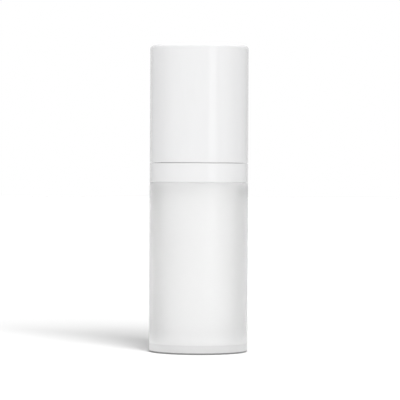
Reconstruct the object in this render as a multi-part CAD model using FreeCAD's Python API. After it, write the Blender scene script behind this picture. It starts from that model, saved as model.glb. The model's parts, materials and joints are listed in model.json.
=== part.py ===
"""Airless foundation bottle, 30 ml class, built as an assembly of separate moulded pieces.

A frosted outer shell with a thick base holds a white inner bottle. A snap-on airless pump sits in the
inner bottle's neck, covered by a glossy shoulder collar, and a tall round over-cap with a liner covers
the pump head. A follower piston closes the inner bottle from below and climbs as the product is used.

Frame: millimetres, +Z up along the bottle's axis, origin at the centre of the foot (bottom) plane.
The pump's nozzle points to -Y, which is the front.
"""
import FreeCAD, Part
import math
import os

V = FreeCAD.Vector

# ---------------------------------------------------------------- driving dimensions (mm)
DIAMETER = 37.0            # outside of cap, collar and shell
HEIGHT = 114.8             # foot to top of cap
COLLAR_BOTTOM = 63.6       # lower edge of the glossy collar
COLLAR_TOP = 70.75         # collar deck that the cap stands over
SEAM = 0.12                # visible gap between collar and cap
SHELL_TOP = 63.55          # shoulder of the frosted shell, under the collar
SHELL_BORE = 30.4          # inside diameter of the frosted shell
BASE_THICKNESS = 2.9       # thick floor of the shell
BARREL_D = 28.9            # outside of the inner bottle
BARREL_BORE = 27.1         # inside of the inner bottle, where the follower slides
BARREL_BOTTOM = 3.2
SHOULDER_Z = 67.2          # top of the inner bottle's rounded shoulder, hidden by the collar
SHOULDER_R = 3.4
NECK_D = 22.4
NECK_BORE = 19.8
NECK_TOP = 73.0
PUMP_BORE = 9.0            # dosing chamber
STROKE = 4.8               # travel of the pump head
LOST_MOTION = 0.48         # the stem moves this much more than the dosing piston, which opens its ports
STEM_D = 5.0
STEM_BORE = 2.6
BALL_D = 3.0
BALL_LIFT = 1.0
SPRING_WIRE = 0.7
SPRING_MEAN_R = 4.05
SPRING_BOTTOM = 75.8
SPRING_TOP = 90.0
HEAD_D = 20.4              # pump head skirt
HEAD_BOTTOM = 82.2
HEAD_TOP = 106.5
NOZZLE_Z = 100.0
NOZZLE_REACH = 13.1        # from the axis to the spout's tip
CAP_WALL = 1.5
CAP_TOP_THICKNESS = 1.8
COLLAR_NECK_D = 28.4       # raised ring that the cap's liner grips
COLLAR_NECK_TOP = 85.0
FOLLOWER_BOTTOM = 4.8
FOLLOWER_TOP = 13.0
FOLLOWER_TRAVEL = 45.0     # until its well has taken in the pump's inlet nose

R = DIAMETER / 2.0


# ---------------------------------------------------------------- helpers
def _corner(p, a, b, r):
    """Tangent points and middle of a corner arc of radius r at p between a and b, all (r, z) pairs."""
    ax, az = a[0] - p[0], a[1] - p[1]
    bx, bz = b[0] - p[0], b[1] - p[1]
    la, lb = math.hypot(ax, az), math.hypot(bx, bz)
    ax, az, bx, bz = ax / la, az / la, bx / lb, bz / lb
    half = math.acos(max(-1.0, min(1.0, ax * bx + az * bz))) / 2.0
    back = r / math.tan(half)
    if back > 0.98 * la or back > 0.98 * lb:
        raise ValueError("corner radius %s too large at %s" % (r, p))
    t1 = (p[0] + ax * back, p[1] + az * back)
    t2 = (p[0] + bx * back, p[1] + bz * back)
    mx, mz = ax + bx, az + bz
    lm = math.hypot(mx, mz)
    c = (p[0] + mx / lm * r / math.sin(half), p[1] + mz / lm * r / math.sin(half))
    d = math.hypot(p[0] - c[0], p[1] - c[1])
    mid = (c[0] + (p[0] - c[0]) / d * r, c[1] + (p[1] - c[1]) / d * r)
    return t1, mid, t2


def lathe(points, axis="Z"):
    """Solid of revolution about the axis from a closed outline of (radius, height[, corner radius])."""
    def at(q):
        return V(q[0], 0, q[1]) if axis == "Z" else V(q[0], -q[1], 0)

    n = len(points)
    corners = []
    for i, p in enumerate(points):
        r = p[2] if len(p) > 2 else 0.0
        if r:
            corners.append(_corner(p, points[i - 1], points[(i + 1) % n], r))
        else:
            corners.append(((p[0], p[1]), None, (p[0], p[1])))
    edges = []
    for i in range(n):
        t1, mid, t2 = corners[i]
        if mid:
            edges.append(Part.Arc(at(t1), at(mid), at(t2)).toShape())
        start, end = at(t2), at(corners[(i + 1) % n][0])
        if (end - start).Length > 1e-6:
            edges.append(Part.LineSegment(start, end).toShape())
    face = Part.Face(Part.Wire(edges))
    about = V(0, 0, 1) if axis == "Z" else V(0, 1, 0)
    return face.revolve(V(0, 0, 0), about, 360)


def cyl(r, z0, z1, x=0.0, y=0.0):
    return Part.makeCylinder(r, z1 - z0, V(x, y, z0), V(0, 0, 1))


def cyl_y(r, y0, y1, z, x=0.0):
    """Cylinder along Y, from y0 to y1."""
    return Part.makeCylinder(r, y1 - y0, V(x, y0, z), V(0, 1, 0))


def block(x0, x1, y0, y1, z0, z1):
    return Part.makeBox(x1 - x0, y1 - y0, z1 - z0, V(x0, y0, z0))


def around(shape, n, start=0.0):
    out = []
    for i in range(n):
        s = shape.copy()
        s.rotate(V(0, 0, 0), V(0, 0, 1), start + 360.0 * i / n)
        out.append(s)
    return out


def fuse(base, others):
    return base.multiFuse(others).removeSplitter()


def cut(base, others):
    s = base
    for o in others:
        s = s.cut(o)
    return s


def ring(r0, r1, z0, z1, f=0.0):
    return lathe([(r0, z0, f), (r1, z0, f), (r1, z1, f), (r0, z1, f)])


# ---------------------------------------------------------------- outer shell, frosted, thick base
def outer_shell():
    bore = SHELL_BORE / 2.0
    s = lathe([
        (0, 0.5), (15.2, 0.5, 0.25), (15.6, 0.0, 0.15),          # shallow recess inside the foot ring
        (R, 0.0, 0.6), (R, SHELL_TOP, 0.12),                     # outside wall
        (17.0, SHELL_TOP, 0.15), (17.0, 66.25), (17.15, 66.45), (17.15, 66.85), (17.0, 67.05),
        (17.0, 68.2, 0.3), (bore, 68.2, 0.3),                    # spigot that the collar snaps over
        (bore, BASE_THICKNESS, 1.2), (0, BASE_THICKNESS),
    ])
    s = fuse(s, [lathe([(0, 0.3), (1.1, 0.3, 0.08), (1.3, 0.62), (0, 0.62)])])   # gate mark, in the recess
    return cut(s, [cyl(0.4, -1, 5, y=6.5)])                                         # air hole


# ---------------------------------------------------------------- inner bottle
def inner_bottle():
    ro, ri = BARREL_D / 2.0, BARREL_BORE / 2.0
    no, ni = NECK_D / 2.0, NECK_BORE / 2.0
    b, top, wall = BARREL_BOTTOM, SHOULDER_Z, (BARREL_D - BARREL_BORE) / 2.0
    barrel = lathe([(0, b), (ro, b, 0.4), (ro, top, SHOULDER_R), (0, top)])
    neck = lathe([
        (0, top - 1.0), (no, top - 1.0), (no, 68.2, 0.3), (16.6, 68.2, 0.1), (16.6, 69.2, 0.2), (no, 69.2, 0.2),
        (no, 71.5), (no + 0.5, 71.8), (no + 0.5, 72.3), (no + 0.1, 72.9, 0.05), (no + 0.05, NECK_TOP, 0.02), (0, NECK_TOP),
    ])
    bore = lathe([
        (0, b - 1), (ri, b - 1), (ri, b + 0.5), (ri + 0.15, b + 0.65), (ri + 0.15, b + 0.95), (ri, b + 1.10),
        (ri, top - wall, SHOULDER_R - wall), (0, top - wall),
    ])
    mouth = lathe([(0, 55.0), (ni, 55.0), (ni, NECK_TOP - 0.2), (ni + 0.2, NECK_TOP), (ni + 0.2, NECK_TOP + 1), (0, NECK_TOP + 1)])
    s = cut(barrel.fuse(neck).removeSplitter(), [bore, mouth])
    # air notches under the flange, so that the space round the barrel isn't sealed
    return cut(s, around(block(14.9, 17.5, -1.0, 1.0, 68.1, 68.5), 3, 30))


def base_plug():
    ri = BARREL_BORE / 2.0
    b = BARREL_BOTTOM
    s = lathe([
        (0, b + 0.5), (12.0, b + 0.5, 0.2), (12.2, b + 0.1, 0.1), (ri - 0.15, b + 0.1, 0.1), (ri - 0.05, b + 0.45),
        (ri + 0.1, b + 0.7), (ri + 0.1, b + 0.9), (ri - 0.05, b + 1.1), (ri - 0.05, b + 1.4, 0.08), (0, b + 1.4),
    ])
    s = fuse(s, around(block(2.6, 12.1, -0.4, 0.4, b + 0.1, b + 0.6), 6, 15))      # stiffening ribs on the underside
    return cut(s, [cyl(0.8, 3, 6, x=5.0 * math.cos(a), y=5.0 * math.sin(a))
                   for a in (math.radians(45 + 90 * k) for k in range(4))])  # air holes


def follower_piston():
    ri = BARREL_BORE / 2.0
    lip, waist = ri - 0.07, ri - 0.55
    b, t = FOLLOWER_BOTTOM, FOLLOWER_TOP
    return lathe([
        (0, b), (7.6, b, 0.6), (7.6, b + 5.0, 0.4), (11.9, b + 5.0, 0.5), (11.9, b, 0.1),
        (lip, b, 0.15), (lip, b + 1.0, 0.15), (waist, b + 1.6, 0.2), (waist, t - 1.6, 0.2),
        (lip, t - 1.0, 0.15), (lip, t, 0.12), (ri - 0.75, t, 0.12), (11.9, t - 2.0, 0.4),
        (6.6, t - 2.0, 0.6), (6.6, b + 1.0, 0.5), (0, b + 1.0),
    ])


# ---------------------------------------------------------------- airless pump
def pump_housing():
    rb = PUMP_BORE / 2.0
    return lathe([
        (1.0, 51.6), (1.0, 52.0), (1.9, 53.2), (1.9, 55.2, 0.1), (rb, 55.2, 0.2), (rb, 74.3), (rb + 0.3, 74.8),
        (10.8, 74.8, 0.15), (10.8, 73.6, 0.1), (9.85, 73.6, 0.1), (9.85, 70.9), (9.65, 70.6, 0.1), (9.05, 70.6, 0.2),
        (9.05, 73.5, 0.3), (5.5, 73.5, 0.5), (5.5, 55.4, 0.4), (3.3, 53.6, 0.4), (3.3, 51.6, 0.3),
    ])


def ball_retainer():
    s = lathe([(0, 55.8), (4.42, 55.8, 0.1), (4.42, 56.6, 0.1), (0, 56.6)])
    foot = block(3.45, 4.3, -0.6, 0.6, 55.2, 55.9)
    s = fuse(s, around(foot, 3))
    return cut(s, [cyl(0.75, 55, 57, x=2.6 * math.cos(a), y=2.6 * math.sin(a))
                   for a in (math.radians(60 + 120 * k) for k in range(3))])


def inlet_ball():
    return Part.makeSphere(BALL_D / 2.0, V(0, 0, 53.2))


def main_piston():
    ri, lip = STEM_D / 2.0 + 0.05, PUMP_BORE / 2.0 - 0.05
    return lathe([
        (ri, 63.05, 0.05), (3.15, 63.05, 0.1), (3.25, 65.3, 0.25), (3.9, 65.3, 0.25), (4.05, 63.5, 0.05),
        (lip, 63.4, 0.05), (lip, 64.2, 0.1), (4.15, 65.0, 0.2), (4.15, 67.3, 0.2), (lip, 68.1, 0.1),
        (lip, 68.9, 0.05), (4.05, 68.8, 0.05), (3.9, 67.0, 0.25), (3.25, 67.0, 0.25), (3.15, 69.3, 0.1), (ri, 69.3, 0.05),
    ])


def pump_stem():
    ro, ri = STEM_D / 2.0, STEM_BORE / 2.0
    s = lathe([
        (ri, 63.0), (ro, 63.0), (ro, 89.5), (ro + 0.2, 89.75), (ro + 0.2, 90.0), (ro, 90.3), (ro, 91.0, 0.2), (ri, 91.0, 0.15),
    ])
    return cut(s, [block(-4, 4, -0.5, 0.5, 62.9, 63.45), block(-0.5, 0.5, -4, 4, 62.9, 63.45)])   # four ports


def stem_plug():
    head = lathe([(0, 61.9), (2.6, 61.9, 0.2), (3.4, 62.4, 0.1), (3.4, 62.98, 0.08), (0, 62.98)])
    w = STEM_BORE / 2.0 - 0.04
    tip = cyl(w, 62.9, 67.0)
    cross = block(-0.3, 0.3, -w, w, 62.9, 67.0).fuse(block(-w, w, -0.3, 0.3, 62.9, 67.0))
    return fuse(head, [cross.common(tip)])


def stem_guide():
    rb, hole = PUMP_BORE / 2.0, STEM_D / 2.0 + 0.1
    s = lathe([
        (3.45, 69.45, 0.1), (rb - 0.05, 69.45, 0.15), (rb - 0.05, 74.2), (rb + 0.25, 74.82), (7.6, 74.82, 0.1), (7.6, 75.8, 0.2),
        (3.3, 75.8), (3.3, 77.2, 0.2), (hole, 77.2, 0.15), (hole, 74.2, 0.1), (3.45, 74.0, 0.2),
    ])
    # three shallow keys on the rim, which stop it turning in the closure
    return cut(s, around(block(6.9, 8.0, -0.7, 0.7, 75.2, 76.0), 3))


def return_spring():
    """Closed end coils, open active coils, ends ground flat."""
    z0, z1 = SPRING_BOTTOM, SPRING_TOP
    w = SPRING_WIRE
    closed, active = 1.25, 5.5
    lead = w * 1.02
    zs = z0 + w * 0.30
    ze = z1 - w * 0.30
    rise = (ze - zs) - 2 * closed * lead
    pitch = rise / active

    def z_at(t):
        # t in turns, with a smooth change of pitch over a fifth of a turn
        def ease(x, k=0.25):
            return 0.0 if x <= -k else (x if x >= k else (x + k) ** 2 / (4 * k))
        extra = pitch - lead
        return zs + lead * t + extra * (ease(t - closed) - ease(t - closed - active))

    total = 2 * closed + active
    steps = int(total * 24)
    pts = []
    for i in range(steps + 1):
        t = total * i / steps
        a = 2 * math.pi * t
        pts.append(V(SPRING_MEAN_R * math.cos(a), SPRING_MEAN_R * math.sin(a), z_at(t)))
    curve = Part.BSplineCurve()
    curve.interpolate(pts)
    path = Part.Wire([curve.toShape()])
    tangent = curve.tangent(curve.FirstParameter)[0]
    section = Part.Wire([Part.Circle(pts[0], tangent, w / 2.0).toShape()])
    solid = path.makePipeShell([section], True, True)
    length = curve.length()
    solid = solid.common(cyl(8, z0, z1))
    print("spring wire volume", round(solid.Volume, 2), "of about", round(math.pi * w * w / 4 * length, 2), "valid", solid.isValid())
    return solid


def neck_gasket():
    return ring(NECK_BORE / 2.0 + 0.05, NECK_D / 2.0 - 0.1, NECK_TOP, 73.6, 0.1)


def pump_closure():
    s = lathe([
        (7.9, 74.85, 0.1), (11.85, 74.85, 0.2), (11.85, 71.45), (11.35, 71.15), (11.35, 69.9), (11.6, 69.5, 0.1),
        (12.6, 69.5, 0.3), (12.6, 76.0, 0.5), (7.9, 76.0, 0.3),
    ])
    rib = block(12.3, 12.9, -0.35, 0.35, 70.4, 75.2)
    return fuse(s, around(rib, 12))


def collar_shroud():
    rn = COLLAR_NECK_D / 2.0
    return lathe([
        (17.2, COLLAR_BOTTOM, 0.12), (R, COLLAR_BOTTOM, 0.12), (R, COLLAR_TOP, 0.35), (rn, COLLAR_TOP, 0.25),
        (rn, 75.0), (rn + 0.12, 75.25), (rn + 0.12, 75.5), (rn, 75.75),             # click bead for the cap
        (rn, COLLAR_NECK_TOP, 0.6), (10.5, COLLAR_NECK_TOP, 0.4), (10.5, 83.8, 0.15), (13.0, 83.8, 0.4),
        (13.0, 69.45, 0.2), (17.2, 69.45, 0.3), (17.2, 66.1), (17.08, 65.9), (17.08, 65.6), (17.2, 65.4),
    ])


# ---------------------------------------------------------------- pump head
def actuator_cover():
    ro, ri = HEAD_D / 2.0, HEAD_D / 2.0 - 1.0
    s = lathe([
        (ri, HEAD_BOTTOM, 0.1), (ro, HEAD_BOTTOM, 0.25), (ro, HEAD_TOP, 1.3), (0, HEAD_TOP), (0, 104.6),
        (ri, 104.6, 0.6), (ri, 92.0), (ri - 0.15, 91.8), (ri - 0.15, 91.5), (ri, 91.3),
    ])
    rs = (8.2 ** 2 + 0.85 ** 2) / (2 * 0.85)
    s = s.cut(Part.makeSphere(rs, V(0, 0, HEAD_TOP - 0.85 + rs)))              # finger dish
    rim = [e for e in s.Edges if abs(e.BoundBox.ZMin - HEAD_TOP) < 0.02 and abs(e.BoundBox.ZMax - HEAD_TOP) < 0.02
           and abs(e.BoundBox.XMax - 8.2) < 0.1]
    s = s.makeFillet(0.5, rim)
    return s.cut(cyl_y(2.5, -12, -5, NOZZLE_Z))                                # window for the spout


def actuator_core():
    s = lathe([
        (2.56, 83.2, 0.1), (3.3, 83.2, 0.2), (3.3, 90.0), (9.1, 90.0, 0.15), (9.1, 91.2, 0.15), (3.8, 91.2, 0.5),
        (3.8, 102.6, 0.5), (0, 102.6), (0, 100.0), (1.3, 100.0), (1.3, 91.15), (2.56, 91.15), (2.56, 90.45), (2.8, 90.3),
        (2.8, 89.5), (2.56, 89.3),
    ])
    spout = lathe([(0, 2.0), (2.3, 2.0), (2.3, NOZZLE_REACH - 0.9), (2.05, NOZZLE_REACH, 0.3), (0, NOZZLE_REACH)], axis="Y")
    spout.translate(V(0, 0, NOZZLE_Z))
    s = fuse(s, [spout])
    s = fuse(s, around(block(3.5, 8.6, -0.45, 0.45, 91.0, 95.5), 3, 30))          # webs that stiffen the flange
    return cut(s, [cyl_y(1.1, -11.9, 0, NOZZLE_Z), cyl_y(1.62, -14, -11.6, NOZZLE_Z)])


def nozzle_insert():
    s = lathe([(0.6, 11.62), (1.58, 11.62, 0.1), (1.58, 12.95), (0.95, 12.95, 0.05), (0.6, 12.4)], axis="Y")
    s.translate(V(0, 0, NOZZLE_Z))
    return s


# ---------------------------------------------------------------- over-cap
def cap_shell():
    z0 = COLLAR_TOP + SEAM
    ri = R - CAP_WALL
    return lathe([
        (ri, z0, 0.2), (R, z0, 0.1), (R, HEIGHT, 1.25), (0, HEIGHT), (0, HEIGHT - CAP_TOP_THICKNESS),
        (ri, HEIGHT - CAP_TOP_THICKNESS, 0.8), (ri, 71.65), (ri - 0.15, 71.55), (ri - 0.15, 71.35), (ri, 71.2),
    ])


def cap_liner():
    z0, zt = 71.7, HEIGHT - CAP_TOP_THICKNESS - 0.05
    s = lathe([
        (14.75, z0), (16.95, z0, 0.1), (16.95, z0 + 0.9, 0.1), (15.4, z0 + 0.9, 0.2), (15.4, zt, 0.5), (0, zt),
        (0, zt - 1.0), (14.5, zt - 1.0, 0.8), (14.5, z0 + 0.35),
    ])
    s = fuse(s, around(block(15.2, 16.93, -0.4, 0.4, z0 + 0.5, zt - 1.2), 8, 22.5))      # centring ribs in the shell
    grip = block(14.3, 14.7, -0.35, 0.35, 77.2, 84.2)
    return fuse(s, around(grip, 8))                                                   # friction ribs on the collar's ring


NODES = {
    "outer_shell": outer_shell, "inner_bottle": inner_bottle, "base_plug": base_plug, "follower_piston": follower_piston,
    "pump_housing": pump_housing, "ball_retainer": ball_retainer, "inlet_ball": inlet_ball, "main_piston": main_piston,
    "pump_stem": pump_stem, "stem_plug": stem_plug, "stem_guide": stem_guide, "return_spring": return_spring,
    "neck_gasket": neck_gasket, "pump_closure": pump_closure, "collar_shroud": collar_shroud,
    "actuator_cover": actuator_cover, "actuator_core": actuator_core, "nozzle_insert": nozzle_insert,
    "cap_shell": cap_shell, "cap_liner": cap_liner,
}


def main():
    os.makedirs("parts", exist_ok=True)
    for name, make in NODES.items():
        s = make()
        solids = s.Solids
        if len(solids) == 1:
            s = solids[0]
        if not s.isValid() or s.Volume <= 0:
            print("PROBLEM", name, s.isValid(), s.Volume)
        print("%-16s solids %d  volume %9.2f mm3  z %.2f..%.2f" % (name, len(solids), s.Volume, s.BoundBox.ZMin, s.BoundBox.ZMax))
        s.exportStep("parts/%s.step" % name)


main()
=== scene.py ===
import bpy
import bmesh
import json
import math
from mathutils import Matrix, Vector


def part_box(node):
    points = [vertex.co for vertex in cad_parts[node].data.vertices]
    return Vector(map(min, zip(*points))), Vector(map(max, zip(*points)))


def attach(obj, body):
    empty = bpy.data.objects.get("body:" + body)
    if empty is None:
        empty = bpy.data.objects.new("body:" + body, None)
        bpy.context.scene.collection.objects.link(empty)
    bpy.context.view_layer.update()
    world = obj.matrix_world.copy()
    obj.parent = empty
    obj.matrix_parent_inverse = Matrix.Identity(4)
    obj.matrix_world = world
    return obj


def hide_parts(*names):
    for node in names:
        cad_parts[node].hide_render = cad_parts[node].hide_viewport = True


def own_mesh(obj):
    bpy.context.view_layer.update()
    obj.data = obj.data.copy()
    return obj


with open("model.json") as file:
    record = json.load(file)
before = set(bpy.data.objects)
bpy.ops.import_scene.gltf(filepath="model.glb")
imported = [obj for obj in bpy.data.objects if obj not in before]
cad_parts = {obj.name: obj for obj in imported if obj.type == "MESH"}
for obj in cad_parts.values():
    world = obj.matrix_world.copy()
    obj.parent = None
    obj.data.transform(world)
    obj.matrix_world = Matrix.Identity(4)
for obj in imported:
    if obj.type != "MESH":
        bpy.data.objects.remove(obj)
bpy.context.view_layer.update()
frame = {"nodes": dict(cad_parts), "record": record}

MM = 0.001


SEG = 192
ARC = 6

# ------------------------------------------------------------------ sizes read from the frame, in mm
def zr(node):
    lo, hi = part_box(node)
    return lo.z / MM, hi.z / MM


def rad(node):
    lo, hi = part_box(node)
    return max(hi.x, -lo.x) / MM


R = rad("outer_shell")
CAP_Z0, CAP_Z1 = zr("cap_shell")
COL_Z0, COL_ZN = zr("collar_shroud")
COL_Z1 = CAP_Z0 - 0.12
SH_Z0, SH_Z1 = zr("outer_shell")
IN_Z0, IN_Z1 = zr("inner_bottle")
LIN_Z0, LIN_Z1 = zr("cap_liner")
HEAD_Z0, HEAD_Z1 = zr("actuator_cover")
HEAD_R = rad("actuator_cover")
SP_Z0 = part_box("stem_guide")[0].z / MM
SHOULDER = COL_Z0 - 0.05
BORE = 15.2
BARREL_R = 14.45
BARREL_IN = 13.55
SHOULDER_Z = 67.2
SHOULDER_R = 3.4
FLOOR_Z = 2.9
NOZZLE_Z = 100.0


# ------------------------------------------------------------------ mesh helpers
def corner(p, a, b, r, n):
    ax, az = a[0] - p[0], a[1] - p[1]
    bx, bz = b[0] - p[0], b[1] - p[1]
    la, lb = math.hypot(ax, az), math.hypot(bx, bz)
    ax, az, bx, bz = ax / la, az / la, bx / lb, bz / lb
    half = math.acos(max(-1.0, min(1.0, ax * bx + az * bz))) / 2.0
    back = min(r / math.tan(half), 0.49 * la, 0.49 * lb)
    r = back * math.tan(half)
    mx, mz = ax + bx, az + bz
    lm = math.hypot(mx, mz)
    cx, cz = p[0] + mx / lm * r / math.sin(half), p[1] + mz / lm * r / math.sin(half)
    a0 = math.atan2(p[1] + az * back - cz, p[0] + ax * back - cx)
    a1 = math.atan2(p[1] + bz * back - cz, p[0] + bx * back - cx)
    d = (a1 - a0 + math.pi) % (2 * math.pi) - math.pi
    return [(cx + r * math.cos(a0 + d * i / n), cz + r * math.sin(a0 + d * i / n)) for i in range(n + 1)]


def outline(points, closed=True, step=4.0):
    """Round the corners, then add rings near the ends of straight runs and along them."""
    n = len(points)
    pts = []
    for i, p in enumerate(points):
        r = p[2] if len(p) > 2 else 0.0
        ends = (not closed) and i in (0, n - 1)
        if r and not ends:
            k = max(ARC, int(ARC * r / 1.5))
            pts += corner(p, points[i - 1], points[(i + 1) % n], r, k)
        else:
            pts.append((p[0], p[1]))
    out = []
    m = len(pts)
    for i in range(m if closed else m - 1):
        a, b = pts[i], pts[(i + 1) % m]
        out.append(a)
        d = math.hypot(b[0] - a[0], b[1] - a[1])
        if d > 1.2:
            e = min(0.12, d * 0.1)
            ts = [e / d]
            k = int(d / step)
            ts += [j / (k + 1.0) for j in range(1, k + 1)]
            ts.append(1 - e / d)
            out += [(a[0] + (b[0] - a[0]) * t, a[1] + (b[1] - a[1]) * t) for t in ts]
    if not closed:
        out.append(pts[-1])
    return out


def finish_mesh(name, bm, mats, sharp=32.0):
    bmesh.ops.remove_doubles(bm, verts=bm.verts, dist=1e-7)
    bmesh.ops.recalc_face_normals(bm, faces=bm.faces)
    me = bpy.data.meshes.new(name)
    bm.to_mesh(me)
    bm.free()
    for m in mats:
        me.materials.append(m)
    me.polygons.foreach_set("use_smooth", [True] * len(me.polygons))
    me.set_sharp_from_angle(angle=math.radians(sharp))
    me.update()
    o = bpy.data.objects.new(name, me)
    bpy.context.scene.collection.objects.link(o)
    return o


def add_lathe(bm, points, seg=None, axis="Z", centre=(0, 0, 0), step=4.0, mat=0, phase=0.0):
    """Closed outline in mm, revolved about the axis. Points on the axis become one vertex."""
    seg = seg or SEG
    prof = outline(points, True, step)
    rings = []
    for (r, z) in prof:
        if abs(r) < 1e-6:
            if axis == "Z":
                v = bm.verts.new((centre[0] * MM, centre[1] * MM, (centre[2] + z) * MM))
            else:
                v = bm.verts.new((centre[0] * MM, (centre[1] - z) * MM, centre[2] * MM))
            rings.append([v] * seg)
            continue
        ring = []
        for k in range(seg):
            a = 2 * math.pi * (k + phase) / seg
            if axis == "Z":
                co = ((centre[0] + r * math.cos(a)) * MM, (centre[1] + r * math.sin(a)) * MM, (centre[2] + z) * MM)
            else:
                co = ((centre[0] + r * math.cos(a)) * MM, (centre[1] - z) * MM, (centre[2] + r * math.sin(a)) * MM)
            ring.append(bm.verts.new(co))
        rings.append(ring)
    n = len(rings)
    faces = []
    for i in range(n):
        a, b = rings[i], rings[(i + 1) % n]
        pa, pb = a[0] is a[1], b[0] is b[1]
        if pa and pb:
            continue
        for k in range(seg):
            k2 = (k + 1) % seg
            if pa:
                f = bm.faces.new((a[0], b[k2], b[k]))
            elif pb:
                f = bm.faces.new((a[k], a[k2], b[0]))
            else:
                f = bm.faces.new((a[k], a[k2], b[k2], b[k]))
            f.material_index = mat
            faces.append(f)
    return faces


def lathe_obj(name, points, mats, seg=None, axis="Z", centre=(0, 0, 0), step=4.0, phase=0.0):
    bm = bmesh.new()
    add_lathe(bm, points, seg, axis, centre, step, 0, phase)
    return finish_mesh(name, bm, mats)


def add_box(bm, x0, x1, y0, y1, z0, z1, turn=0.0, bevel=0.08, mat=0):
    vs = []
    for x in (x0, x1):
        for y in (y0, y1):
            for z in (z0, z1):
                vs.append(bm.verts.new((x * MM, y * MM, z * MM)))
    idx = [(0, 1, 3, 2), (4, 6, 7, 5), (0, 4, 5, 1), (2, 3, 7, 6), (0, 2, 6, 4), (1, 5, 7, 3)]
    fs = [bm.faces.new([vs[i] for i in q]) for q in idx]
    for f in fs:
        f.material_index = mat
    edges = list({e for f in fs for e in f.edges})
    geom = [v for v in vs] + edges
    if bevel:
        res = bmesh.ops.bevel(bm, geom=geom, offset=bevel * MM, segments=2, affect="EDGES", profile=0.5)
        vs = list({v for f in res["faces"] for v in f.verts} | {v for v in vs if v.is_valid})
    bmesh.ops.rotate(bm, verts=vs, cent=(0, 0, 0), matrix=Matrix.Rotation(math.radians(turn), 3, "Z"))


def boolean(obj, tool, op="DIFFERENCE"):
    m = obj.modifiers.new("cut", "BOOLEAN")
    m.operation = op
    m.solver = "EXACT"
    m.object = tool
    dg = bpy.context.evaluated_depsgraph_get()
    me = bpy.data.meshes.new_from_object(obj.evaluated_get(dg))
    obj.modifiers.clear()
    old = obj.data
    obj.data = me
    bpy.data.meshes.remove(old)
    bpy.data.objects.remove(tool)
    obj.data.polygons.foreach_set("use_smooth", [True] * len(obj.data.polygons))
    obj.data.set_sharp_from_angle(angle=math.radians(32))
    return obj


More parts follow.
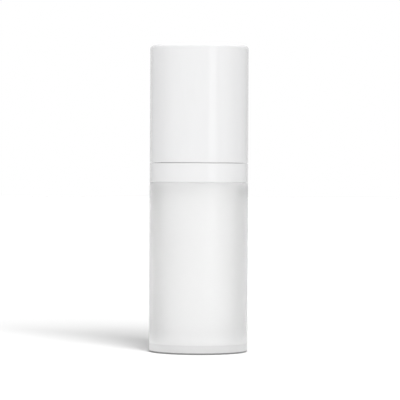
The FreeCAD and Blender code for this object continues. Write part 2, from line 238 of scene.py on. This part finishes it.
# ------------------------------------------------------------------ materials
def principled(name, color, rough, rough_var=0.03, color_var=0.015, scale=900.0, bump=0.02, bump_scale=2500.0,
               bump_dist=0.00002, ior=1.5, transmission=0.0, coat=0.0, coat_rough=0.1, metallic=0.0, sss=0.0,
               wave=0.0, wave_scale=90.0, stretch=(1, 1, 1), specks=0.0):
    m = bpy.data.materials.new(name)
    m.use_nodes = True
    nt = m.node_tree
    N, L = nt.nodes, nt.links
    p = N["Principled BSDF"]
    tc = N.new("ShaderNodeTexCoord")
    mp = N.new("ShaderNodeMapping")
    mp.inputs["Scale"].default_value = stretch
    L.new(tc.outputs["Object"], mp.inputs["Vector"])

    big = N.new("ShaderNodeTexNoise")                 # slow variation of tint and gloss
    big.inputs["Scale"].default_value = scale * 0.1
    big.inputs["Detail"].default_value = 4.0
    big.inputs["Roughness"].default_value = 0.55
    L.new(mp.outputs["Vector"], big.inputs["Vector"])
    fine = N.new("ShaderNodeTexNoise")
    fine.inputs["Scale"].default_value = scale
    fine.inputs["Detail"].default_value = 3.0
    L.new(mp.outputs["Vector"], fine.inputs["Vector"])

    ramp = N.new("ShaderNodeMix")
    ramp.data_type = "RGBA"
    c0 = [max(0.0, c * (1 - color_var)) for c in color[:3]] + [1]
    c1 = [min(1.0, c * (1 + color_var)) for c in color[:3]] + [1]
    ramp.inputs[6].default_value = c0
    ramp.inputs[7].default_value = c1
    L.new(big.outputs["Fac"], ramp.inputs[0])
    last = ramp.outputs[2]
    if specks:
        vo = N.new("ShaderNodeTexVoronoi")
        vo.inputs["Scale"].default_value = 700.0
        L.new(mp.outputs["Vector"], vo.inputs["Vector"])
        th = N.new("ShaderNodeMapRange")
        th.inputs["From Min"].default_value = 0.02
        th.inputs["From Max"].default_value = 0.05
        th.inputs["To Min"].default_value = specks
        th.inputs["To Max"].default_value = 0.0
        L.new(vo.outputs["Distance"], th.inputs["Value"])
        mx = N.new("ShaderNodeMix")
        mx.data_type = "RGBA"
        mx.inputs[7].default_value = [c * 0.9 for c in color[:3]] + [1]
        L.new(th.outputs["Result"], mx.inputs[0])
        L.new(last, mx.inputs[6])
        last = mx.outputs[2]
    L.new(last, p.inputs["Base Color"])

    rr = N.new("ShaderNodeMapRange")
    rr.inputs["From Min"].default_value = 0.3
    rr.inputs["From Max"].default_value = 0.7
    rr.inputs["To Min"].default_value = max(0.02, rough - rough_var)
    rr.inputs["To Max"].default_value = min(1.0, rough + rough_var)
    mixn = N.new("ShaderNodeMath")
    mixn.operation = "MULTIPLY_ADD"
    mixn.inputs[1].default_value = 0.35
    L.new(fine.outputs["Fac"], mixn.inputs[0])
    half = N.new("ShaderNodeMath")
    half.operation = "MULTIPLY"
    half.inputs[1].default_value = 0.65
    L.new(big.outputs["Fac"], half.inputs[0])
    L.new(half.outputs[0], mixn.inputs[2])
    L.new(mixn.outputs[0], rr.inputs["Value"])
    L.new(rr.outputs["Result"], p.inputs["Roughness"])

    p.inputs["IOR"].default_value = ior
    p.inputs["Metallic"].default_value = metallic
    p.inputs["Transmission Weight"].default_value = transmission
    p.inputs["Coat Weight"].default_value = coat
    p.inputs["Coat Roughness"].default_value = coat_rough
    if sss:
        p.inputs["Subsurface Weight"].default_value = sss
        p.inputs["Subsurface Radius"].default_value = (0.0012, 0.0011, 0.001)
        p.inputs["Subsurface Scale"].default_value = 1.0
    normal = None
    if wave:
        wn = N.new("ShaderNodeTexNoise")
        wn.inputs["Scale"].default_value = wave_scale
        wn.inputs["Detail"].default_value = 1.0
        L.new(mp.outputs["Vector"], wn.inputs["Vector"])
        wb = N.new("ShaderNodeBump")
        wb.inputs["Strength"].default_value = wave
        wb.inputs["Distance"].default_value = 0.0001
        L.new(wn.outputs["Fac"], wb.inputs["Height"])
        normal = wb.outputs["Normal"]
    if bump:
        bn = N.new("ShaderNodeTexNoise")
        bn.inputs["Scale"].default_value = bump_scale
        bn.inputs["Detail"].default_value = 2.0
        L.new(mp.outputs["Vector"], bn.inputs["Vector"])
        bb = N.new("ShaderNodeBump")
        bb.inputs["Strength"].default_value = bump
        bb.inputs["Distance"].default_value = bump_dist
        L.new(bn.outputs["Fac"], bb.inputs["Height"])
        if normal:
            L.new(normal, bb.inputs["Normal"])
        normal = bb.outputs["Normal"]
    if normal:
        L.new(normal, p.inputs["Normal"])
    return m


M = {}
M["gloss_white"] = principled("gloss_white", (0.735, 0.735, 0.739), 0.045, 0.015, 0.006, 500, 0.03, 1800, wave=0.05, wave_scale=70, specks=0.25)
M["frosted"] = principled("frosted_shell", (0.998, 0.998, 0.998), 0.295, 0.01, 0.004, 1200, 0.0, 3200, ior=1.46, transmission=0.95, coat=0.3, coat_rough=0.06)
M["frosted_inner"] = principled("frosted_inner", (0.992, 0.992, 0.992), 0.36, 0.02, 0.004, 900, 0.0, 1500, ior=1.46, transmission=0.85)
# milky underside, its colour tinted grey: painted shade beneath the bottle
M["milky_base_painted_shade"] = principled("milky_base_painted_shade", (0.86, 0.86, 0.86), 0.32, 0.03, 0.006, 900, 0.0, 1500, ior=1.46, transmission=0.3)
M["milky_corner"] = principled("milky_corner", (0.99, 0.99, 0.99), 0.4, 0.03, 0.006, 900, 0.0, 1500, ior=1.46, transmission=0.15)
# dark grey on the foot's rounded edge: painted contact shadow where the foot meets the floor
M["foot_contact_shadow_paint"] = principled("foot_contact_shadow_paint", (0.23, 0.23, 0.23), 0.35, 0.04, 0.02, 900, 0.0, 1500, ior=1.46)


def fade_z(m, trans, tint):
    """Transmission and tint that follow the height in the object's own frame, each a start value plus smooth steps."""
    N, L = m.node_tree.nodes, m.node_tree.links
    p = N["Principled BSDF"]
    tc = N.new("ShaderNodeTexCoord")
    sp = N.new("ShaderNodeSeparateXYZ")
    L.new(tc.outputs["Object"], sp.inputs[0])
    outs = []
    for start, steps in (trans, tint):
        last = None
        for z0, z1, change in steps:
            mr = N.new("ShaderNodeMapRange")
            mr.interpolation_type = "SMOOTHSTEP"
            mr.inputs["From Min"].default_value = z0 * MM
            mr.inputs["From Max"].default_value = z1 * MM
            mr.inputs["To Min"].default_value = 0.0 if last else start
            mr.inputs["To Max"].default_value = change if last else start + change
            L.new(sp.outputs["Z"], mr.inputs["Value"])
            if last:
                ad = N.new("ShaderNodeMath")
                ad.operation = "ADD"
                L.new(last, ad.inputs[0])
                L.new(mr.outputs["Result"], ad.inputs[1])
                last = ad.outputs[0]
            else:
                last = mr.outputs["Result"]
        outs.append(last)
    L.new(outs[0], p.inputs["Transmission Weight"])
    src = p.inputs["Base Color"].links[0].from_socket
    mul = N.new("ShaderNodeVectorMath")
    mul.operation = "SCALE"
    L.new(src, mul.inputs[0])
    L.new(outs[1], mul.inputs["Scale"])
    L.new(mul.outputs[0], p.inputs["Base Color"])


# the thick base is milky, the wall clears above it and hazes a little again where it enters the collar; below 3.7 mm
# the colour is also scaled down to 0.81, painted shade that greys the base band
fade_z(M["frosted"], (0.3, [(3.1, 3.9, 0.22), (3.9, 9.5, 0.43), (59.8, 63.3, -0.3)]), (0.81, [(3.1, 3.7, 0.19)]))
M["inner_white"] = principled("inner_white", (0.98, 0.98, 0.98), 0.32, 0.05, 0.008, 700, 0.05, 2200, sss=0.0)
M["liner_white"] = principled("liner_white", (0.75, 0.75, 0.75), 0.38, 0.05, 0.012, 600, 0.06, 2000, specks=0.2)
M["head_white"] = principled("head_white", (0.73, 0.73, 0.734), 0.16, 0.04, 0.008, 500, 0.04, 2000, wave=0.04, specks=0.2)
M["nozzle_plastic"] = principled("nozzle_plastic", (0.62, 0.63, 0.64), 0.2, 0.04, 0.012, 900, 0.04, 2600)
M["pump_plastic"] = principled("pump_plastic", (0.72, 0.72, 0.72), 0.36, 0.06, 0.015, 800, 0.08, 2400)
M["piston_plastic"] = principled("piston_plastic", (0.66, 0.67, 0.68), 0.42, 0.06, 0.02, 700, 0.08, 1800)
M["gasket_rubber"] = principled("gasket_rubber", (0.5, 0.5, 0.5), 0.62, 0.06, 0.03, 900, 0.15, 2600)
M["spring_steel"] = principled("spring_steel", (0.56, 0.56, 0.57), 0.24, 0.08, 0.06, 2600, 0.12, 5200, metallic=1.0)
M["ball_steel"] = principled("ball_steel", (0.7, 0.7, 0.71), 0.08, 0.03, 0.02, 1500, 0.02, 4000, metallic=1.0)

SLOT_OF = {s["node"]: s["material_slot"] for s in frame["record"]["subparts"]}
MAT_OF = {"gloss_white": "gloss_white", "frosted_shell": "frosted", "inner_white": "inner_white", "liner_white": "liner_white",
          "head_white": "head_white", "nozzle_plastic": "nozzle_plastic", "pump_plastic": "pump_plastic",
          "piston_plastic": "piston_plastic", "gasket_rubber": "gasket_rubber", "spring_steel": "spring_steel",
          "ball_steel": "ball_steel"}
for node, obj in frame["nodes"].items():
    obj.data.materials.clear()
    obj.data.materials.append(M[MAT_OF[SLOT_OF[node]]])
    obj.data.polygons.foreach_set("use_smooth", [True] * len(obj.data.polygons))
    obj.data.set_sharp_from_angle(angle=math.radians(30))


def stand_in(piece, node, body):
    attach(piece, body)
    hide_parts(node)
    return piece


# ------------------------------------------------------------------ over-cap
CAP_IN = R - 1.5
cap = lathe_obj("cap_shell_vis", [
    (CAP_IN, CAP_Z0, 0.2), (R, CAP_Z0, 0.1), (R, CAP_Z1, 1.25), (0, CAP_Z1), (0, CAP_Z1 - 1.8),
    (CAP_IN, CAP_Z1 - 1.8, 0.8), (CAP_IN, CAP_Z0 + 0.78), (CAP_IN - 0.15, CAP_Z0 + 0.68), (CAP_IN - 0.15, CAP_Z0 + 0.48),
    (CAP_IN, CAP_Z0 + 0.33)], [M["gloss_white"]])
stand_in(cap, "cap_shell", "cap")

bm = bmesh.new()
add_lathe(bm, [
    (14.75, LIN_Z0), (16.95, LIN_Z0, 0.1), (16.95, LIN_Z0 + 0.9, 0.1), (15.4, LIN_Z0 + 0.9, 0.2), (15.4, LIN_Z1, 0.5), (0, LIN_Z1),
    (0, LIN_Z1 - 1.0), (14.5, LIN_Z1 - 1.0, 0.8), (14.5, LIN_Z0 + 0.35)])
for i in range(8):
    add_box(bm, 15.3, 16.93, -0.4, 0.4, LIN_Z0 + 0.8, LIN_Z1 - 1.2, 22.5 + 45 * i)
    add_box(bm, 14.3, 14.7, -0.35, 0.35, LIN_Z0 + 5.5, LIN_Z0 + 12.5, 45 * i, 0.12)
liner = finish_mesh("cap_liner_vis", bm, [M["liner_white"]])
stand_in(liner, "cap_liner", "cap")

# ------------------------------------------------------------------ collar
RN = 14.2
collar = lathe_obj("collar_vis", [
    (17.2, COL_Z0, 0.12), (R, COL_Z0, 0.12), (R, COL_Z1, 0.35), (RN, COL_Z1, 0.25),
    (RN, 75.0), (RN + 0.12, 75.25), (RN + 0.12, 75.5), (RN, 75.75),
    (RN, COL_ZN, 0.6), (10.5, COL_ZN, 0.4), (10.5, COL_ZN - 1.2, 0.15), (13.0, COL_ZN - 1.2, 0.4),
    (13.0, 69.45, 0.2), (17.2, 69.45, 0.3), (17.2, 66.1), (17.08, 65.9), (17.08, 65.6), (17.2, 65.4)], [M["gloss_white"], M["inner_white"]])
for poly in collar.data.polygons:                 # the faces over the shell get the brighter inner white: painted light that lifts the shade the collar casts into the top of the shell
    c = poly.center
    rr = math.hypot(c.x, c.y) / MM
    if (rr < 17.3 and c.z / MM < 69.5 and rr > 16.9) or (rr < R - 0.3 and c.z / MM < COL_Z0 + 0.02):
        poly.material_index = 1
stand_in(collar, "collar_shroud", "bottle")

# ------------------------------------------------------------------ frosted shell
bm = bmesh.new()
add_lathe(bm, [
    (0, 0.5), (15.2, 0.5, 0.25), (15.6, 0.0, 0.15), (R, 0.0, 0.6), (R, SHOULDER, 0.12),
    (17.0, SHOULDER, 0.15), (17.0, 66.25), (17.15, 66.45), (17.15, 66.85), (17.0, 67.05),
    (17.0, 68.2, 0.3), (BORE, 68.2, 0.3), (BORE, FLOOR_Z, 1.2), (0, FLOOR_Z)], step=3.0)
shell = finish_mesh("outer_shell_vis", bm, [M["frosted"], M["frosted_inner"], M["milky_base_painted_shade"], M["foot_contact_shadow_paint"], M["milky_corner"]])
me = shell.data
for poly in me.polygons:
    c = poly.center
    rr = math.hypot(c.x, c.y) / MM
    if rr < BORE + 0.2 and c.z / MM > FLOOR_Z + 1.3:
        poly.material_index = 1
    elif rr < BORE + 0.2 and c.z / MM > FLOOR_Z - 0.1:
        poly.material_index = 4
    elif 0.01 < c.z / MM < 0.58 and rr > 17.85:   # only the rounding at the foot's outer edge, painted dark grey as the contact shadow under the foot
        poly.material_index = 3
    # underside faces: milky, tinted grey as painted shade under the bottle
    elif c.z / MM < 0.8 and rr < 18.0:
        poly.material_index = 2
bm = bmesh.new()
add_lathe(bm, [(0, -1), (0.4, -1), (0.4, 5), (0, 5)], seg=32, centre=(0, 6.5, 0))
tool = finish_mesh("vent_tool", bm, [M["frosted_inner"]])
shell = boolean(shell, tool)
stand_in(shell, "outer_shell", "bottle")

# ------------------------------------------------------------------ inner bottle
NO, NI = 11.2, 9.9
WALL = BARREL_R - BARREL_IN


def shoulder_arc(ro, top, r, stop, n):
    """Arc from the barrel wall over the shoulder, ending where it meets the neck radius stop."""
    cx, cz = ro - r, top - r
    end = math.acos(max(-1.0, min(1.0, (stop - cx) / r)))
    return [(cx + r * math.cos(end * i / n), cz + r * math.sin(end * i / n)) for i in range(n + 1)]


outer = [(BARREL_IN, IN_Z0, 0.1), (BARREL_R, IN_Z0, 0.4)] + shoulder_arc(BARREL_R, SHOULDER_Z, SHOULDER_R, NO, 14)
outer += [(NO, 68.2, 0.3), (16.6, 68.2, 0.1), (16.6, 69.2, 0.2), (NO, 69.2, 0.2), (NO, 71.5), (NO + 0.5, 71.8), (NO + 0.5, 72.3),
          (NO + 0.1, 72.9, 0.05), (NO + 0.05, 73.0), (NI + 0.2, 73.0), (NI, 72.8)]
inner = list(reversed(shoulder_arc(BARREL_IN, SHOULDER_Z - WALL, SHOULDER_R - WALL, BARREL_IN - SHOULDER_R + WALL, 10)))
outer += [(NI, SHOULDER_Z - WALL)] + inner
outer += [(BARREL_IN, IN_Z0 + 1.1), (BARREL_IN + 0.15, IN_Z0 + 0.95), (BARREL_IN + 0.15, IN_Z0 + 0.65), (BARREL_IN, IN_Z0 + 0.5)]
barrel = lathe_obj("inner_bottle_vis", outer, [M["inner_white"]], step=3.0)
stand_in(barrel, "inner_bottle", "bottle")

# ------------------------------------------------------------------ pump head
RH = HEAD_R
prof = [(RH - 1.0, HEAD_Z0, 0.1), (RH, HEAD_Z0, 0.25), (RH, HEAD_Z1, 1.3), (8.2, HEAD_Z1, 0.5)]
dish = 0.85
rs = (8.2 ** 2 + dish ** 2) / (2 * dish)
for i in range(1, 12):
    r = 8.2 * (1 - i / 12.0)
    prof.append((r, HEAD_Z1 - dish + rs - math.sqrt(rs * rs - r * r)))
prof += [(0, HEAD_Z1 - dish), (0, HEAD_Z1 - 1.9), (RH - 1.0, HEAD_Z1 - 1.9, 0.6), (RH - 1.0, 92.0), (RH - 1.15, 91.8), (RH - 1.15, 91.5), (RH - 1.0, 91.3)]
head = lathe_obj("actuator_cover_vis", prof, [M["head_white"]], step=2.5)
bm = bmesh.new()
add_lathe(bm, [(0, 5), (2.5, 5), (2.5, 12), (0, 12)], seg=64, axis="Y", centre=(0, 0, NOZZLE_Z), step=50)
tool = finish_mesh("window_tool", bm, [M["head_white"]])
head = boolean(head, tool)
stand_in(head, "actuator_cover", "pump_head")

bm = bmesh.new()
reach = 13.1
add_lathe(bm, [(1.1, 5.0), (2.3, 5.0), (2.3, reach - 0.9), (2.05, reach, 0.3), (1.62, reach, 0.1), (1.62, 11.6), (1.1, 11.6)],
          seg=64, axis="Y", centre=(0, 0, NOZZLE_Z), step=2.0)
add_lathe(bm, [(2.56, 83.2, 0.1), (3.3, 83.2, 0.2), (3.3, 90.0), (9.1, 90.0, 0.15), (9.1, 91.2, 0.15), (3.8, 91.2, 0.5),
               (3.8, 102.6, 0.5), (0, 102.6), (0, 101.4), (1.3, 101.4), (1.3, 91.15), (2.56, 91.15), (2.56, 90.45), (2.8, 90.3),
               (2.8, 89.5), (2.56, 89.3)], seg=96)
for i in range(3):
    add_box(bm, 3.6, 8.6, -0.45, 0.45, 91.1, 95.5, 30 + 120 * i)
core = finish_mesh("actuator_core_vis", bm, [M["head_white"]])
stand_in(core, "actuator_core", "pump_head")

nozzle = lathe_obj("nozzle_insert_vis", [(0.6, 11.62), (1.58, 11.62, 0.1), (1.58, 12.95, 0.05), (0.95, 12.95, 0.12), (0.6, 12.4, 0.05)],
                   [M["nozzle_plastic"]], seg=64, axis="Y", centre=(0, 0, NOZZLE_Z), step=2.0)
stand_in(nozzle, "nozzle_insert", "pump_head")

# ------------------------------------------------------------------ return spring
SPR0, SPR1 = 75.8, 90.0
WIRE, MEAN = 0.7, 4.05


def spring_mesh():
    closed, active = 1.25, 5.5
    lead = WIRE * 1.02
    zs, ze = SPR0 + WIRE * 0.5, SPR1 - WIRE * 0.5
    pitch = ((ze - zs) - 2 * (closed - 0.25) * 0 - 2 * closed * lead) / active

    def z_at(t):
        def ease(x, k=0.25):
            return 0.0 if x <= -k else (x if x >= k else (x + k) ** 2 / (4 * k))
        return zs + lead * t + (pitch - lead) * (ease(t - closed) - ease(t - closed - active))

    total = 2 * closed + active
    steps = int(total * (48))
    sides = 16
    bm = bmesh.new()
    rings = []
    for i in range(steps + 1):
        t = total * i / steps
        a = 2 * math.pi * t
        c = Vector((MEAN * math.cos(a), MEAN * math.sin(a), z_at(t)))
        out = Vector((math.cos(a), math.sin(a), 0))
        dz = (z_at(min(total, t + 0.01)) - z_at(max(0, t - 0.01))) / (min(total, t + 0.01) - max(0, t - 0.01))
        tan = Vector((-math.sin(a) * 2 * math.pi * MEAN, math.cos(a) * 2 * math.pi * MEAN, dz)).normalized()
        up = tan.cross(out).normalized()
        ring = []
        for s in range(sides):
            b = 2 * math.pi * s / sides
            q = c + (out * math.cos(b) + up * math.sin(b)) * WIRE / 2
            q.z = min(max(q.z, SPR0), SPR1)
            ring.append(bm.verts.new(q * MM))
        rings.append(ring)
    for i in range(steps):
        for s in range(sides):
            s2 = (s + 1) % sides
            bm.faces.new((rings[i][s], rings[i][s2], rings[i + 1][s2], rings[i + 1][s]))
    bm.faces.new(list(reversed(rings[0])))
    bm.faces.new(rings[-1])
    return finish_mesh("return_spring_vis", bm, [M["spring_steel"]], 50)


spring = spring_mesh()
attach(spring, "bottle")
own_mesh(spring)
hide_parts("return_spring")

# ------------------------------------------------------------------ floor
floor_mat = principled("floor", (0.575, 0.575, 0.575), 0.6, 0.05, 0.004, 20, 0.0)
floor_mat.node_tree.nodes["Principled BSDF"].inputs["Specular IOR Level"].default_value = 0.0
bm = bmesh.new()
bmesh.ops.create_circle(bm, cap_ends=True, segments=96, radius=6.0)
floor = finish_mesh("floor", bm, [floor_mat])
floor.location = (0, 0, -0.00002)

# ------------------------------------------------------------------ world and lights
world = bpy.data.worlds.new("studio")
bpy.context.scene.world = world
world.use_nodes = True
wn, wl = world.node_tree.nodes, world.node_tree.links
for n in list(wn):
    wn.remove(n)
wo = wn.new("ShaderNodeOutputWorld")
bg = wn.new("ShaderNodeBackground")
bgc = wn.new("ShaderNodeBackground")
mixs = wn.new("ShaderNodeMixShader")
lp = wn.new("ShaderNodeLightPath")
tcw = wn.new("ShaderNodeTexCoord")
sep = wn.new("ShaderNodeSeparateXYZ")
wl.new(tcw.outputs["Generated"], sep.inputs[0])
front = wn.new("ShaderNodeMapRange")             # brighter in front of the object (-Y), dimmer behind
front.interpolation_type = "SMOOTHSTEP"
front.inputs["From Min"].default_value = 0.10
front.inputs["From Max"].default_value = -0.50
front.inputs["To Min"].default_value = 0.37
front.inputs["To Max"].default_value = 1.09
wl.new(sep.outputs["Y"], front.inputs["Value"])
bg.inputs["Strength"].default_value = 1.0
over = wn.new("ShaderNodeMapRange")              # and brighter overhead
over.interpolation_type = "SMOOTHSTEP"
over.inputs["From Min"].default_value = 0.40
over.inputs["From Max"].default_value = 0.95
over.inputs["To Min"].default_value = 0.0
over.inputs["To Max"].default_value = 0.65
wl.new(sep.outputs["Z"], over.inputs["Value"])
addw = wn.new("ShaderNodeMath")
addw.operation = "ADD"
wl.new(front.outputs["Result"], addw.inputs[0])
wl.new(over.outputs["Result"], addw.inputs[1])
lean = wn.new("ShaderNodeMath")                  # a little more from the left
lean.operation = "MULTIPLY_ADD"
lean.inputs[1].default_value = -0.027
wl.new(sep.outputs["X"], lean.inputs[0])
back = wn.new("ShaderNodeMapRange")              # a white wall far behind, seen only at grazing angles
back.interpolation_type = "SMOOTHSTEP"
back.inputs["From Min"].default_value = 0.82
back.inputs["From Max"].default_value = 0.98
back.inputs["To Min"].default_value = 0.0
back.inputs["To Max"].default_value = 0.40
wl.new(sep.outputs["Y"], back.inputs["Value"])
addb = wn.new("ShaderNodeMath")
addb.operation = "ADD"
wl.new(addw.outputs[0], addb.inputs[0])
wl.new(back.outputs["Result"], addb.inputs[1])
wl.new(addb.outputs[0], lean.inputs[2])
wl.new(lean.outputs[0], bg.inputs["Strength"])
bgc.inputs["Strength"].default_value = 1.0
bg.inputs["Color"].default_value = (1, 1, 1, 1)
bgc.inputs["Color"].default_value = (1, 1, 1, 1)
wl.new(lp.outputs["Is Camera Ray"], mixs.inputs[0])
wl.new(bg.outputs[0], mixs.inputs[1])
wl.new(bgc.outputs[0], mixs.inputs[2])
wl.new(mixs.outputs[0], wo.inputs["Surface"])


def area(name, az, el, dist, sx, sy, power, aim=(0, 0, 0.05), only=None, skip=None):
    """Area light at azimuth az (to the right of the front) and elevation el, in degrees, aimed at a point."""
    d = bpy.data.lights.new(name, "AREA")
    d.shape = "RECTANGLE"
    d.size, d.size_y = sx, sy
    d.energy = power
    o = bpy.data.objects.new(name, d)
    bpy.context.scene.collection.objects.link(o)
    a, e = math.radians(az), math.radians(el)
    aim = Vector(aim)
    o.location = aim + Vector((math.sin(a) * math.cos(e), -math.cos(a) * math.cos(e), math.sin(e))) * dist
    o.rotation_euler = (aim - o.location).to_track_quat("-Z", "Y").to_euler()
    if only:
        c = bpy.data.collections.new(name + "_receivers")
        for r in only:
            c.objects.link(r)
        o.light_linking.receiver_collection = c
    if skip:
        c = bpy.data.collections.new(name + "_skips")
        for r in skip:
            c.objects.link(r)
        for m in c.collection_objects:
            m.light_linking.link_state = "EXCLUDE"
        o.light_linking.receiver_collection = c
    return o


def sun(name, az, el, strength, angle, only=None):
    d = bpy.data.lights.new(name, "SUN")
    d.energy = strength
    d.angle = math.radians(angle)
    o = bpy.data.objects.new(name, d)
    bpy.context.scene.collection.objects.link(o)
    a, e = math.radians(az), math.radians(el)
    d_to = Vector((math.sin(a) * math.cos(e), -math.cos(a) * math.cos(e), math.sin(e)))
    o.location = d_to * 0.8
    o.rotation_euler = (-d_to).to_track_quat("-Z", "Y").to_euler()
    if only:
        c = bpy.data.collections.new(name + "_receivers")
        for r in only:
            c.objects.link(r)
        o.light_linking.receiver_collection = c
    return o


key = sun("key_floor", 19.7, 33.2, 4.95, 32.5, only=[floor])
strip = area("strip", 31.2, 0, 0.75, 0.235, 0.9, 0.74, aim=(0, 0, 0.06))

top = area("top_soft", 180, 77, 0.55, 0.5, 0.5, 2.3, aim=(0, 0, 0.11), skip=[floor])

# ------------------------------------------------------------------ camera
cam_data = bpy.data.cameras.new("camera")
cam = bpy.data.objects.new("camera", cam_data)
bpy.context.scene.collection.objects.link(cam)
cam_data.sensor_width = 36.0
cam_data.lens = 203.5
cam_data.clip_start = 0.05
cam_data.clip_end = 50.0
CAM = Vector((0.0, -0.850, 0.066))
AIM = Vector((0.00047, 0.0, 0.0569))
look = (AIM - CAM).normalized()
q = look.to_track_quat("-Z", "Y")
roll = Matrix.Rotation(math.radians(0.29), 4, "Z")
cam.matrix_world = Matrix.Translation(CAM) @ q.to_matrix().to_4x4() @ roll
bpy.context.scene.camera = cam

sc = bpy.context.scene
sc.view_settings.view_transform = "Standard"
sc.view_settings.look = "None"
sc.view_settings.exposure = 0.0
sc.view_settings.gamma = 1.0
sc.cycles.max_bounces = 48                        # light gets lost inside the frosted wall with fewer
sc.cycles.transmission_bounces = 40
sc.cycles.diffuse_bounces = 16
sc.cycles.glossy_bounces = 12
sc.cycles.blur_glossy = 0.2
